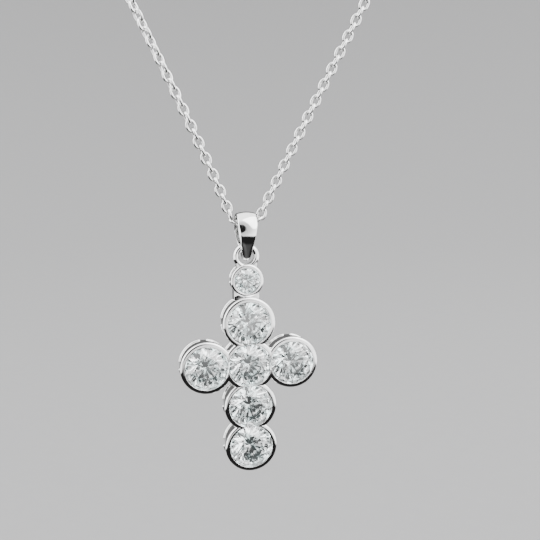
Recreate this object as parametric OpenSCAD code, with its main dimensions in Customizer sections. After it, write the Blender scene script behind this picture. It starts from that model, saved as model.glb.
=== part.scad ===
// Cross pendant of bezel-set round brilliants on a fine cable chain, in millimetres.
// The origin is at the nape, in the middle of the clasp. +Z is up and -Y is the front.
// The cross is drawn lying on its back, with its face up, and is then stood up and hung.

/* [Stones] */
// Girdle diameter of the six large stones
stone_d = 4.1; // [3.5:0.1:5]
// Girdle diameter of the small top stone
top_stone_d = 2.4; // [2:0.1:3]
// Width of a stone's table as a share of its girdle diameter
table_share = 0.57; // [0.5:0.01:0.64]
// Angle of the crown's main facets to the girdle
crown_angle = 34; // [30:0.5:36]
// Angle of the pavilion's main facets to the girdle
pavilion_angle = 40.5; // [38:0.5:42]
// Thickness of a stone's girdle
girdle_t = 0.08; // [0.04:0.01:0.12]

/* [Layout of the cross] */
// Metal between the girdles of neighbours on the upright
stone_gap = 0.08; // [0.07:0.01:0.4]
// Metal between the girdles of the centre stone and a side stone
arm_gap = 0.18; // [0.1:0.01:0.6]
// Distance between the girdles of the upper stone and the small top stone
top_gap = 0.9; // [0.8:0.05:1.3]
// How far the small top stone sits behind the large ones
top_back = 0.5; // [0.3:0.05:0.7]

/* [Cups] */
// Width of a large cup's rim outside its stone
rim_w = 0.56; // [0.45:0.01:0.8]
// Height of a large cup's rim over the girdle
rim_h = 0.38; // [0.25:0.01:0.5]
// Width of the small cup's rim outside its stone
top_rim_w = 0.42; // [0.35:0.01:0.6]
// Height of the small cup's rim over its girdle
top_rim_h = 0.3; // [0.2:0.01:0.4]
// Share of a rim's width that its rounded shoulder takes
rim_round = 0.68; // [0.4:0.01:0.75]
// Share of a rim's height that the shoulder falls
rim_fall = 0.72; // [0.4:0.01:0.8]
// Share of a rim's width that is flat on top
rim_land = 0.1; // [0.06:0.01:0.2]
// How far the lip laps over the stone's edge
lip_w = 0.03; // [0.01:0.01:0.05]
// Height of the lip's edge
lip_h = 0.03; // [0.02:0.01:0.06]
// Clearance round a seated stone
seat_play = 0.02; // [0.01:0.005:0.03]
// Width of the ledge under a stone's edge
ledge_w = 0.34; // [0.2:0.02:0.4]
// Thickness of a cup's wall round its open back
back_wall = 0.18; // [0.14:0.01:0.24]
// Depth of the cups behind the girdle
cup_depth = 1.85; // [1.75:0.05:2.4]
// How much smaller a cup's radius is at the back
cup_taper = 0.2; // [0.05:0.01:0.24]
// Thickness of the wire round the cups' back edges
wire_d = 0.26; // [0.18:0.01:0.3]
// Angle of each break in that wire
wire_break = 20; // [10:1:30]

/* [Neck and eye] */
// Width of the neck plate between the upper and the small cup
neck_w = 2.5; // [1.6:0.1:3]
// Thickness of the neck plate
neck_t = 0.9; // [0.6:0.1:1.2]
// Width of the shoulder under the eye
shoulder_w = 2; // [1.4:0.1:2.4]
// Thickness of the shoulder
shoulder_t = 0.8; // [0.5:0.05:1]
// Distance of the shoulder's top under the middle of the eye
shoulder_drop = 0.5; // [0.4:0.05:0.9]
// Radius of the shoulder's upper corners
shoulder_round = 0.12; // [0.05:0.01:0.15]
// Diameter of the hole in the eye
eye_hole_d = 1.4; // [1.3:0.05:1.8]
// Thickness of the eye's round wire
eye_wire_d = 0.6; // [0.5:0.02:0.64]
// How deep the eye is soldered into the small cup
eye_sink = 0.55; // [0.35:0.05:0.6]
// How far the eye sits behind the large stones' girdles
eye_back = 0.7; // [0.5:0.05:0.9]

/* [Bail] */
// Distance from the chain to the eye's top wire, both inside the bail
bail_reach = 2.35; // [2.2:0.05:3.5]
// Width of the bail over its top arch
bail_w = 1.88; // [1.5:0.02:1.92]
// How far under the chain's axis the bail starts to narrow
taper_low = 0.3; // [0:0.05:0.5]
// Width of the bar at the bail's bottom
bar_w = 0.86; // [0.6:0.02:0.9]
// Gap in the eye's hole under that bar
bar_gap = 0.26; // [0.16:0.02:0.5]
// Outer radius of the bend that the bar makes, seen from the side
bar_r = 0.66; // [0.6:0.02:0.8]
// Radius of the bar's rounded edges
bar_round = 0.44; // [0.42:0.01:0.46]
// Thickness of the strap in the top arch
strap_t = 0.4; // [0.3:0.02:0.5]
// Radius of the strap's rounded edges over the top arch
strap_round = 0.08; // [0.04:0.01:0.12]
// Inner depth of the arch, front to back
arch_w = 2; // [1.5:0.05:2.2]
// Inner height of the arch over its widest place
arch_h = 1.6; // [1.2:0.05:1.7]
// Gap between the chain and the arch above it
chain_play = 0.12; // [0.09:0.01:0.2]
// Gap between the eye's wire and the bend under it
eye_play = 0.04; // [0.03:0.01:0.05]

/* [Chain and clasp] */
// Diameter of the round space that the links fill
chain_d = 0.9; // [0.7:0.05:0.94]
// Outer diameter of the clasp's ring
clasp_d = 5.6; // [5:0.1:6]
// Thickness of the clasp's ring
clasp_wire_d = 1; // [0.8:0.1:1.4]
// Outer diameter of the eyelet at each end of the clasp
eyelet_d = 1.9; // [1.6:0.1:2]
// Thickness of an eyelet's wire
eyelet_wire_d = 0.45; // [0.35:0.05:0.5]
// How deep an eyelet is soldered into the ring
eyelet_sink = 0.3; // [0.2:0.05:0.4]

/* [Hidden] */
metal = "gainsboro";
crystal = "azure";
round_fn = 96;
wire_fn = 24;
cut_over = 0.3;

// Places of the stones on the bench: to the right, up the cross, and in front of the large girdles
upright = stone_d + stone_gap;
arm = stone_d + arm_gap;
centre_at = [0, 0, 0];
upper_at = [0, upright, 0];
lower_at = [0, -upright, 0];
foot_at = [0, -2 * upright, 0];
left_at = [-arm, 0, 0];
right_at = [arm, 0, 0];
top_at = [0, upright + stone_d / 2 + top_gap + top_stone_d / 2, -top_back];
large_at = [centre_at, upper_at, lower_at, foot_at, left_at, right_at];

// How far each stone is turned in its cup: top, upper, left, centre, right, lower and foot
stone_turn = [8, 19, 36, 3, 27, 12, 41];

// The small cup shares the large cups' back plane, and its ledge is in proportion to its stone
top_depth = cup_depth - top_back;
top_ledge_w = ledge_w * top_stone_d / stone_d;
top_cup_r = top_stone_d / 2 + top_rim_w;

// The eye, whose top wire hangs in the bail
eye_r = (eye_hole_d + eye_wire_d) / 2;
eye_y = top_at[1] + top_cup_r + eye_r + eye_wire_d / 2 - eye_sink;
eye_top_y = eye_y + eye_r;

// The lowest place of the chain, and the route from the clasp's right side round the front to its left
chain_low = [0, -85, -140];
chain_route = [
    [4.5, 0, 0], [11, -1, -0.2], [20, -3.6, -0.8], [29.4, -8, -2], [38.4, -14.8, -4],
    [46.4, -24, -7.2], [52.6, -35, -12], [56.4, -47, -19], [56.2, -59, -29], [51.6, -69.4, -41.5],
    [44.4, -77, -56], [36, -82, -73], [27.4, -84.4, -90], [19.2, -85, -106], [12.8, -85, -118],
    [2.2, -85, -138], [1.67, -85, -139.05], [1.36, -85, -139.7], [1, -85, -139.95], [0.46, -85, -140],
    [-0.46, -85, -140], [-1, -85, -139.95], [-1.34, -85, -139.7], [-1.58, -85, -139.05], [-2, -85, -138],
    [-11, -85, -118], [-16.6, -85, -106], [-25, -84.4, -90], [-34.4, -82, -73], [-43.4, -77, -56],
    [-51.2, -69.4, -41.5], [-56, -59, -29], [-56.4, -47, -19], [-52.6, -35, -12], [-46.4, -24, -7.2],
    [-38.4, -14.8, -4], [-29.4, -8, -2], [-20, -3.6, -0.8], [-11, -1, -0.2], [-4.5, 0, 0],
];
route_steps = 2;
chain_sides = 8;
// A direction that the route never runs along, from which each ring of the tube is turned
chain_up = [0, -0.6, 0.8];

// Distances along and slopes at the route's points
leg = [for (i = [1 : len(chain_route) - 1]) norm(chain_route[i] - chain_route[i - 1])];
last_leg = len(leg) - 1;
function leg_way(i) = (chain_route[i + 1] - chain_route[i]) / leg[i];
function slope_at(i) =
    i == 0 ? leg_way(0)
    : i > last_leg ? leg_way(last_leg)
    : (leg_way(i - 1) * leg[i] + leg_way(i) * leg[i - 1]) / (leg[i - 1] + leg[i]);

// A smooth curve through the route's points, at share t of leg i, and its direction there
function route_at(i, t) =
    (2 * t ^ 3 - 3 * t ^ 2 + 1) * chain_route[i] + (t ^ 3 - 2 * t ^ 2 + t) * leg[i] * slope_at(i)
    + (3 * t ^ 2 - 2 * t ^ 3) * chain_route[i + 1] + (t ^ 3 - t ^ 2) * leg[i] * slope_at(i + 1);
function route_way(i, t) =
    (6 * t ^ 2 - 6 * t) * (chain_route[i] - chain_route[i + 1]) + (3 * t ^ 2 - 4 * t + 1) * leg[i] * slope_at(i)
    + (3 * t ^ 2 - 2 * t) * leg[i] * slope_at(i + 1);
function unit(v) = v / norm(v);
function tube_ring(place, way, r, sides) =
    let (across = unit(cross(way, chain_up)), over = unit(cross(across, way)))
    [for (k = [0 : sides - 1]) place + r * (across * cos(360 * k / sides) + over * sin(360 * k / sides))];

// Joins equal rings of points into one skin, closed end to end or with a cap at each end
module skin(rings, closed = false) {
    n = len(rings);
    m = len(rings[0]);
    walls = [
        for (i = [0 : closed ? n - 1 : n - 2], k = [0 : m - 1])
        let (j = (i + 1) % n, l = (k + 1) % m)
        each [[i * m + k, i * m + l, j * m + l], [i * m + k, j * m + l, j * m + k]]
    ];
    caps = closed ? [] : [[for (k = [m - 1 : -1 : 0]) k], [for (k = [0 : m - 1]) (n - 1) * m + k]];
    polyhedron([for (ring = rings) each ring], concat(walls, caps), convexity = 6);
}

module chain() {
    color(metal)
    skin(concat(
        [
            for (i = [0 : last_leg], k = [0 : route_steps - 1])
            tube_ring(route_at(i, k / route_steps), route_way(i, k / route_steps), chain_d / 2, chain_sides)
        ],
        [tube_ring(chain_route[last_leg + 1], leg_way(last_leg), chain_d / 2, chain_sides)]
    ));
}

module wire_ring(ring_r, wire_r) {
    rotate_extrude($fn = round_fn) translate([ring_r, 0]) circle(wire_r, $fn = wire_fn);
}

// A plain ring clasp with an eyelet at each side for the chain's end links
module clasp() {
    color(metal) rotate([90, 0, 0]) {
        wire_ring((clasp_d - clasp_wire_d) / 2, clasp_wire_d / 2);
        for (side = [-1, 1])
            translate([side * ((clasp_d + eyelet_d) / 2 - eyelet_sink), 0, 0])
                wire_ring((eyelet_d - eyelet_wire_d) / 2, eyelet_wire_d / 2);
    }
}

// The bail seen from the side: depth to the back and height, from the chain's axis
arch_z = chain_d / 2 + chain_play - arch_h;
bend_r = eye_wire_d / 2 + eye_play;
bar_t = eye_hole_d - eye_play - bar_gap;
bar_z = -bail_reach - bend_r - bar_t + bar_r;
bail_arch_steps = 20;
bail_side_steps = 3;
bail_bend_steps = 15;

// Angle below level at which a strap leaves an arch of half width a and height b, tangent to a bend of
// radius r that lies a distance d under it
function strap_lean(a, b, r, d) =
    let (k = d * d + a * a - b * b) asin((r * d - sqrt(r * r * d * d - k * (r * r - a * a))) / k);
function arch_start(a, b, lean) = atan(b / a * tan(lean));
function arch_point(a, b, lean, t) =
    let (start = arch_start(a, b, lean), angle = start + t * (180 - 2 * start))
    [a * cos(angle), arch_z + b * sin(angle)];
function bend_point(z, r, lean, t) =
    let (angle = 180 - lean + t * (180 + 2 * lean)) [r * cos(angle), z + r * sin(angle)];

// One closed line of the side view: over the arch, down the front strap, round the bend and up the back strap
function bail_line(a, b, z, r) =
    let (lean = strap_lean(a, b, r, arch_z - z))
    concat(
        [for (i = [0 : bail_arch_steps - 1]) arch_point(a, b, lean, i / bail_arch_steps)],
        [
            for (i = [0 : bail_side_steps - 1])
            let (t = i / bail_side_steps) (1 - t) * arch_point(a, b, lean, 1) + t * bend_point(z, r, lean, 0)
        ],
        [for (i = [0 : bail_bend_steps - 1]) bend_point(z, r, lean, i / bail_bend_steps)],
        [
            for (i = [0 : bail_side_steps - 1])
            let (t = i / bail_side_steps) (1 - t) * bend_point(z, r, lean, 1) + t * arch_point(a, b, lean, 0)
        ]
    );

// A section across the strap: from the inner to the outer line, with rounded edges
function strap_section(inner, outer) =
    let (
        middle = (inner + outer) / 2,
        thick = norm(outer - inner),
        way = (outer - inner) / thick,
        bar_mid = -bail_reach - bend_r - bar_t / 2,
        share = max(0, min(1, (middle[1] - bar_mid) / (-taper_low - bar_mid))),
        wide = bar_w + (bail_w - bar_w) * share,
        edge = bar_round + (strap_round - bar_round) * max(0, min(1, 2.5 * share - 0.5)),
        edge_x = min(wide * 0.45, edge),
        edge_t = min(thick * 0.45, edge)
    )
    [
        for (corner = [0 : 3], step = [0 : 3])
        let (
            angle = 90 * corner + 30 * step,
            x_side = corner == 0 || corner == 3 ? 1 : -1,
            t_side = corner < 2 ? 1 : -1,
            x = x_side * (wide / 2 - edge_x) + edge_x * cos(angle),
            t = t_side * (thick / 2 - edge_t) + edge_t * sin(angle)
        )
        [x, middle[0] + t * way[0], middle[1] + t * way[1]]
    ];

module bail() {
    inner = bail_line(arch_w / 2, arch_h, -bail_reach, bend_r);
    outer = bail_line(arch_w / 2 + strap_t, arch_h + strap_t, bar_z, bar_r);
    color(metal) translate(chain_low)
        skin([for (i = [len(inner) - 1 : -1 : 0]) strap_section(inner[i], outer[i])], closed = true);
}

// Stands the cross up from the bench and hangs its eye in the bail
module hang() {
    translate(chain_low - [0, eye_back, bail_reach + eye_top_y]) rotate([90, 0, 0]) children();
}

// A cup without its hollow: the outer wall, tapered to the back, with an oval shoulder up to the rim
module cup_body(at, d, rim, h, depth) {
    r = d / 2 + rim;
    translate(at) rotate_extrude($fn = round_fn) polygon(concat(
        [[0, -depth], [r - cup_taper, -depth], [r, 0]],
        [for (a = [0 : 30 : 90]) [r - rim_round * rim * (1 - cos(a)), h - rim_fall * h * (1 - sin(a))]],
        [[0, h]]
    ));
}

// What is hollow in a cup: the slope over the stone, the lip, the groove and ledge of the seat, and the open back
module cup_hollow(at, d, rim, h, depth, ledge) {
    seat_r = d / 2 + seat_play;
    lip_r = d / 2 - lip_w;
    lip_z = girdle_t / 2 + seat_play + lip_w * tan(crown_angle + 8);
    rim_r = d / 2 + rim * (1 - rim_round - rim_land);
    open_r = d / 2 + rim - cup_taper - back_wall;
    seat_z = girdle_t / 2 + seat_play;
    ledge_z = seat_z + ledge * tan(pavilion_angle + 2);
    translate(at) rotate_extrude($fn = round_fn) polygon([
        [0, -depth - cut_over], [open_r, -depth - cut_over], [seat_r - ledge, -depth / 2 - ledge_z / 2],
        [seat_r - ledge, -ledge_z], [seat_r, -seat_z], [seat_r, seat_z],
        [lip_r, lip_z], [lip_r, lip_z + lip_h], [rim_r, h], [rim_r, h + cut_over], [0, h + cut_over],
    ]);
}

// The wire soldered round a cup's back edge, broken above, below and at both sides
module back_wire(at, d, rim, depth) {
    for (quarter = [0 : 3])
        translate(at + [0, 0, -depth + wire_d / 2])
            rotate_extrude(angle = 90 - wire_break, start = 90 * quarter + wire_break / 2, $fn = round_fn)
                translate([d / 2 + rim - cup_taper, 0]) circle(wire_d / 2, $fn = wire_fn);
}

// The plate from the upper cup to the small one, whose back edge its corners reach
module neck() {
    from = upper_at[1] + stone_d / 2;
    to = top_at[1] - sqrt(max(0, (top_cup_r - cup_taper) ^ 2 - neck_w ^ 2 / 4));
    translate([-neck_w / 2, from, -cup_depth + cup_taper]) cube([neck_w, to - from, neck_t]);
}

// The shoulder that the eye stands on, cut out round the eye's hole
module shoulder() {
    from = top_at[1] + top_stone_d / 2;
    side = shoulder_w / 2;
    top = eye_y - shoulder_drop;
    translate([0, 0, -eye_back - shoulder_t / 2]) linear_extrude(shoulder_t) difference() {
        union() {
            translate([-side, from]) square([shoulder_w, top - shoulder_round - from]);
            translate([shoulder_round - side, from]) square([shoulder_w - 2 * shoulder_round, top - from]);
            for (x = [-1, 1])
                translate([x * (side - shoulder_round), top - shoulder_round]) circle(shoulder_round, $fn = wire_fn);
        }
        translate([0, eye_y]) circle(eye_r, $fn = round_fn);
    }
}

module setting() {
    color(metal) hang() difference() {
        union() {
            for (at = large_at) {
                cup_body(at, stone_d, rim_w, rim_h, cup_depth);
                back_wire(at, stone_d, rim_w, cup_depth);
            }
            cup_body(top_at, top_stone_d, top_rim_w, top_rim_h, top_depth);
            back_wire(top_at, top_stone_d, top_rim_w, top_depth);
            neck();
            shoulder();
            translate([0, eye_y, -eye_back]) wire_ring(eye_r, eye_wire_d / 2);
        }
        for (at = large_at)
            cup_hollow(at, stone_d, rim_w, rim_h, cup_depth, ledge_w);
        cup_hollow(top_at, top_stone_d, top_rim_w, top_rim_h, top_depth, top_ledge_w);
    }
}

// A round brilliant: table, 8 stars, 8 kites and 16 upper halves over the girdle, and 16 lower halves
// and 8 mains under it. Stars reach half way to the girdle, and the lower halves four fifths to the culet.
module brilliant(d) {
    r = d / 2;
    table_r = r * table_share;
    star_r = (r + table_r * cos(22.5)) / 2;
    half_r = r / 5;
    g = girdle_t / 2;
    function crown_z(x) = g + (r - x) * tan(crown_angle);
    function pavilion_z(x) = -g - (r - x) * tan(pavilion_angle);
    function around(radius, z, count, turn = 0) =
        [for (i = [0 : count - 1]) [radius * cos(360 * i / count + turn), radius * sin(360 * i / count + turn), z]];
    points = concat(
        around(table_r, crown_z(table_r), 8),
        around(star_r, crown_z(star_r * cos(22.5)), 8, 22.5),
        around(r, g, 16),
        around(r, -g, 16),
        around(half_r, pavilion_z(half_r * cos(22.5)), 8, 22.5),
        [[0, 0, pavilion_z(0)]]
    );
    star = 8;
    over = 16;
    under = 32;
    half = 48;
    culet = 56;
    facets = concat(
        [[for (i = [7 : -1 : 0]) i]],
        [
            for (i = [0 : 7])
            let (next = (i + 1) % 8, before = (i + 7) % 8, mid = 2 * i + 1, end = (2 * i + 2) % 16)
            each [
                [i, next, star + i],
                [i, star + i, over + 2 * i, star + before],
                [star + i, over + mid, over + 2 * i],
                [star + i, over + end, over + mid],
                [over + 2 * i, over + mid, under + mid, under + 2 * i],
                [over + mid, over + end, under + end, under + mid],
                [half + i, under + 2 * i, under + mid],
                [half + i, under + mid, under + end],
                [culet, half + before, under + 2 * i, half + i],
            ]
        ]
    );
    polyhedron(points, facets, convexity = 2);
}

module set_stone(at, d, turn) {
    color(crystal) hang() translate(at) rotate([0, 0, turn]) brilliant(d);
}

module stone_top() { set_stone(top_at, top_stone_d, stone_turn[0]); }
module stone_upper() { set_stone(upper_at, stone_d, stone_turn[1]); }
module stone_left() { set_stone(left_at, stone_d, stone_turn[2]); }
module stone_centre() { set_stone(centre_at, stone_d, stone_turn[3]); }
module stone_right() { set_stone(right_at, stone_d, stone_turn[4]); }
module stone_lower() { set_stone(lower_at, stone_d, stone_turn[5]); }
module stone_foot() { set_stone(foot_at, stone_d, stone_turn[6]); }

chain();
clasp();
bail();
setting();
stone_top();
stone_upper();
stone_left();
stone_centre();
stone_right();
stone_lower();
stone_foot();
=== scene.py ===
"""Looks of a cross pendant on a fine cable chain.

Six large bezel-set round brilliants and a smaller one form the cross. It hangs by a round eye in a
tapered bail, on a chain of interlocking links that closes in a plain ring clasp behind the neck.

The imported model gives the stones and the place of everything. This script replaces its metal with
finer surfaces of the same sizes, swaps the chain's tube for links, and adds the finishes, the light,
the floor and the camera. All sizes are in millimetres and become metres as each mesh is made.
"""

from __future__ import annotations

import logging
import math
from dataclasses import dataclass
from enum import Enum
from typing import Any, Iterable, Sequence

import bmesh
import bpy
import numpy as np
from mathutils import Matrix, Vector

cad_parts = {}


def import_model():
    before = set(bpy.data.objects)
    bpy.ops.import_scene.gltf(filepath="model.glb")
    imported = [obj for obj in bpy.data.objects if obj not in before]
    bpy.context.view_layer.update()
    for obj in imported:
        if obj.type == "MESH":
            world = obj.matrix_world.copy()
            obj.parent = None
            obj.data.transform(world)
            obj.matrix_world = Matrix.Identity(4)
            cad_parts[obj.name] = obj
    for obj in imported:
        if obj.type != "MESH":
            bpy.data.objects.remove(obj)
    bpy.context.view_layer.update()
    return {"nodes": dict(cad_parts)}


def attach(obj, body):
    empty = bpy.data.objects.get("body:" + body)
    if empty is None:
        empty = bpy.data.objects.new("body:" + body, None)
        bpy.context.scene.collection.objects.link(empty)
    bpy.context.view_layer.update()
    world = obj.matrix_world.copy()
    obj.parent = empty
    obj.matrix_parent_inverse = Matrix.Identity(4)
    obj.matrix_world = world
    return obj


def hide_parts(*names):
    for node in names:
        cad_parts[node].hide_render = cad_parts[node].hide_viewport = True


logging.basicConfig(level=logging.INFO, format="%(levelname)s %(message)s")
log = logging.getLogger("cross_pendant")

Array = np.ndarray
Pair = tuple[float, float]
Triple = tuple[float, float, float]

MM = 0.001
WELD = 0.0005
IMAGE_PX = 540
SENSOR = 36.0
CHAIN_LOW = np.array([0.0, -85.0, -140.0])
CROSS_AT = np.array([0.0, -85.7, -154.05])


class Body(Enum):
    """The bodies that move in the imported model."""

    NECKLACE = "necklace"
    BAIL = "bail"
    CROSS = "cross"


class Slot(Enum):
    """The material slots."""

    WHITE_METAL = "white_metal"
    CHAIN_METAL = "chain_metal"
    CRYSTAL = "crystal"


# Directions, arrays and objects


def waves(angles: Array) -> tuple[Array, Array]:
    """Returns the cosines and sines of angles in degrees."""
    turn = np.radians(angles)
    return np.cos(turn), np.sin(turn)


def around(count: int, start: float = 0.0) -> tuple[Array, Array]:
    """Returns the cosines and sines of angles spread evenly over a whole turn, from one in degrees."""
    return waves(np.arange(count) * 360 / count + start)


def towards(turn: float, rise: float) -> Vector:
    """Returns the direction at some degrees from the front towards the viewer's right, and above level."""
    turn, rise = math.radians(turn), math.radians(rise)
    return Vector((math.sin(turn) * math.cos(rise), -math.cos(turn) * math.cos(rise), math.sin(rise)))


def placed(name: str, data: bpy.types.ID) -> bpy.types.Object:
    """Puts an object with this data into the scene."""
    made = bpy.data.objects.new(name, data)
    bpy.context.scene.collection.objects.link(made)
    return made


def stacked(*columns: Array) -> Array:
    """Returns arrays as the columns of one, along a new last axis. Smaller arrays are repeated to fit."""
    return np.stack(np.broadcast_arrays(*columns), axis=-1)


def unit(vectors: Array) -> Array:
    """Returns vectors, along the last axis, each divided by its length."""
    return vectors / np.linalg.norm(vectors, axis=-1, keepdims=True)


# Surfaces


@dataclass
class Skin:
    """A surface as arrays.

    Args:
        points: Points, one row of x, y and z each.
        faces: Arrays of point numbers, one row a face. All faces of an array have as many corners.
    """

    points: Array
    faces: list[Array]

    @classmethod
    def grid(cls, points: Array, rows_close: bool = False, columns_close: bool = False) -> Skin:
        """Joins each point of a grid to its neighbours in four-sided faces.

        Args:
            points: The grid, of shape rows by columns by 3.
            rows_close: Whether the last row joins the first.
            columns_close: Whether the last column joins the first.

        Returns:
            The surface.
        """
        index = np.arange(points.shape[0] * points.shape[1]).reshape(points.shape[:2])
        if rows_close:
            index = np.vstack([index, index[:1]])
        if columns_close:
            index = np.hstack([index, index[:, :1]])
        corners = [index[:-1, :-1], index[:-1, 1:], index[1:, 1:], index[1:, :-1]]
        return cls(points.reshape(-1, 3), [stacked(*corners).reshape(-1, 4)])

    def capped(self, columns: int) -> Skin:
        """Returns a surface of open rows with a face over its first row and one over its last.

        Args:
            columns: How many points a row has.
        """
        first = np.arange(columns)[None, ::-1]
        last = len(self.points) - columns + np.arange(columns)[None, :]
        return Skin(self.points, [*self.faces, first, last])

    def moved(self, by: Sequence[float]) -> Skin:
        """Returns the surface moved by a vector."""
        return Skin(self.points + np.asarray(by), self.faces)

    @classmethod
    def joined(cls, skins: Iterable[Skin]) -> Skin:
        """Returns several surfaces as one."""
        parts = list(skins)
        starts = np.cumsum([0, *(len(part.points) for part in parts)])
        faces = [face + start for part, start in zip(parts, starts) for face in part.faces]
        return cls(np.concatenate([part.points for part in parts]), faces)

    def upright(self) -> Skin:
        """Stands the surface up from the bench, where its face is up, so that it faces the front."""
        x, y, z = self.points.T
        return Skin(stacked(x, -z, y), self.faces)

    def mesh(self, name: str, crease: float) -> bpy.types.Mesh:
        """Puts the surface into a mesh in metres, joins points that coincide and turns its faces outwards.

        Args:
            name: The mesh's name.
            crease: The angle in degrees from which an edge between two faces stays sharp.

        Returns:
            The mesh.
        """
        mesh = bpy.data.meshes.new(name)
        mesh.from_pydata((self.points * MM).tolist(), [], [face for group in self.faces for face in group.tolist()])
        edit = bmesh.new()
        edit.from_mesh(mesh)
        bmesh.ops.remove_doubles(edit, verts=edit.verts, dist=WELD * MM)
        bmesh.ops.recalc_face_normals(edit, faces=edit.faces)
        edit.to_mesh(mesh)
        edit.free()
        mesh.shade_smooth()
        mesh.set_sharp_from_angle(angle=math.radians(crease))
        return mesh


def rounded(corners: Array, radii: Array, steps: Array) -> Array:
    """Rounds the corners of a closed flat line.

    Each corner becomes an arc that touches both its sides. With the corner's turn t and radius r, the
    arc starts r * tan(t / 2) before the corner, and its middle lies r / cos(t / 2) from it, on the line
    that halves the corner's angle.

    Args:
        corners: The corners, one row of two coordinates each.
        radii: A radius for each corner.
        steps: Straight pieces in each corner's arc.

    Returns:
        The rounded line's points in order, one row each.
    """
    r = radii[:, None]
    to_last = unit(np.roll(corners, 1, axis=0) - corners)
    to_next = unit(np.roll(corners, -1, axis=0) - corners)
    turn = math.pi - np.arccos(np.clip((to_last * to_next).sum(axis=1, keepdims=True), -1, 1))
    middle = corners + unit(to_last + to_next) * r / np.cos(turn / 2)
    first = corners + to_last * r * np.tan(turn / 2) - middle
    last = corners + to_next * r * np.tan(turn / 2) - middle
    counts = steps + 1
    corner = np.repeat(np.arange(len(corners)), counts)
    within = np.arange(counts.sum()) - np.repeat(np.cumsum(counts) - counts, counts)
    share = (within / (counts[corner] - 1))[:, None]
    sweep = turn[corner]
    arc = (np.sin((1 - share) * sweep) * first[corner] + np.sin(share * sweep) * last[corner]) / np.sin(sweep)
    return middle[corner] + arc


def with_radii(profile: Array, radii: Array, least: float = 1e-4) -> Array:
    """Adds points to a closed profile wherever it crosses one of some radii.

    Args:
        profile: Radius and height of each point of the profile.
        radii: The radii.
        least: Share of a side that a new point keeps from its ends.

    Returns:
        The profile with its new points, in order.
    """
    ahead = np.roll(profile, -1, axis=0) - profile
    with np.errstate(divide="ignore", invalid="ignore"):
        share = (radii[None, :] - profile[:, :1]) / ahead[:, :1]
    hit = np.isfinite(share) & (share > least) & (share < 1 - least)
    side, _ = np.nonzero(hit)
    added = profile[side] + share[hit][:, None] * ahead[side]
    order = np.argsort(np.concatenate([np.arange(len(profile)), side + share[hit]]), kind="stable")
    return np.concatenate([profile, added])[order]


def turned(profile: Array, planes: Sequence[Pair], columns: int) -> Skin:
    """Turns a closed section about the z axis and trims it where neighbours carry on.

    A point at radius r and angle f lies at (r * cos(f), r * sin(f)). An upright plane at distance h
    trims a row of radius r over the angle acos(h / r) to each side of the plane's direction, and leaves
    a row of smaller radius whole. Between two planes a row's columns are spread evenly. One plane alone
    bounds a sector that goes all the way round.

    Args:
        profile: Radius and height of each row.
        planes: Direction in degrees and distance of each plane, in order of direction.
        columns: Columns in a whole turn.

    Returns:
        The surface, open only at the planes.
    """
    r, z = profile[:, :1], profile[:, 1:]

    def section(angles: Array) -> Array:
        """Returns the grid of points at some angles of each row."""
        across, up = waves(angles)
        return stacked(r * across, r * up, z)

    if not planes:
        angles = np.broadcast_to(np.arange(columns) * 360 / columns, (len(profile), columns))
        return Skin.grid(section(angles), rows_close=True, columns_close=True)
    sectors, hair = [], 1e-9
    for (begin, begin_h), (end, end_h) in zip(planes, [*planes[1:], planes[0]]):
        width = (end - begin - hair) % 360 + hair
        start = begin + np.degrees(np.arccos(np.minimum(1, begin_h / r)))
        stop = begin + width - np.degrees(np.arccos(np.minimum(1, end_h / r)))
        share = np.linspace(0, 1, max(2, round(columns * width / 360) + 1))[None, :]
        sectors.append(Skin.grid(section(start + (stop - start) * share), rows_close=True))
    return Skin.joined(sectors)


def ring(ring_r: float, wire_r: float, columns: int, sides: int) -> Skin:
    """Returns a round wire bent into a whole ring about the z axis."""
    across, up = around(sides)
    return turned(stacked(ring_r + wire_r * across, wire_r * up), [], columns)


def wire_arc(ring_r: float, wire_r: float, start: float, stop: float, columns: int = 28, sides: int = 12) -> Skin:
    """Returns a round wire bent along part of a ring about the z axis, with domed ends.

    A row at angle f has its middle at ring_r * (cos(f), sin(f)). At an end the rows go on along the
    wire by wire_r * sin(a) while their radius falls as wire_r * cos(a).

    Args:
        ring_r: The ring's radius at the wire's middle.
        wire_r: The wire's radius.
        start: Angle in degrees at which the arc starts.
        stop: Angle in degrees at which it ends.
        columns: Rows along the arc.
        sides: Sides round the wire.
    """
    dome = np.linspace(90, 0, 5)[:-1]
    along = np.concatenate([np.full(len(dome), start), np.linspace(start, stop, columns), np.full(len(dome), stop)])
    lean = np.concatenate([-dome, np.zeros(columns), dome[::-1]])
    across, up = waves(along)
    thin, ahead = waves(lean)
    round_x, round_z = around(sides)
    out = ring_r + wire_r * thin[:, None] * round_x
    forward = wire_r * ahead[:, None]
    points = stacked(
        out * across[:, None] - forward * up[:, None],
        out * up[:, None] + forward * across[:, None],
        wire_r * thin[:, None] * round_z,
    )
    return Skin.grid(points, columns_close=True).capped(sides)


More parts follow.
